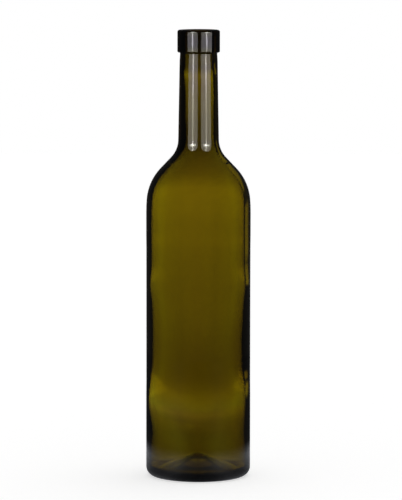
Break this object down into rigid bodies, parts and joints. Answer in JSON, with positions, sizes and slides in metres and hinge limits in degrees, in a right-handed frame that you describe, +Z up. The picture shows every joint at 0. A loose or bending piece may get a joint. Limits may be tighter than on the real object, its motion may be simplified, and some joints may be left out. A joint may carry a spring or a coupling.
{
  "type": "wine bottle",
  "caption": "Tall straight-sided Bordeaux wine bottle in olive green glass, empty and uncorked, with rounded shoulders, a slim neck, a flat ring round the mouth and a shallow punt.",
  "frame": {"origin": "centre of the ring that the bottle stands on, at the lowest plane", "axes": "+Z up along the bottle's axis, towards the mouth"},
  "size_m": [0.0738, 0.0736, 0.316],
  "materials": {
    "glass": "polished, transparent dark olive green"
  },
  "bodies": {
    "root": {"bottle": "glass"}
  },
  "joints": []
}
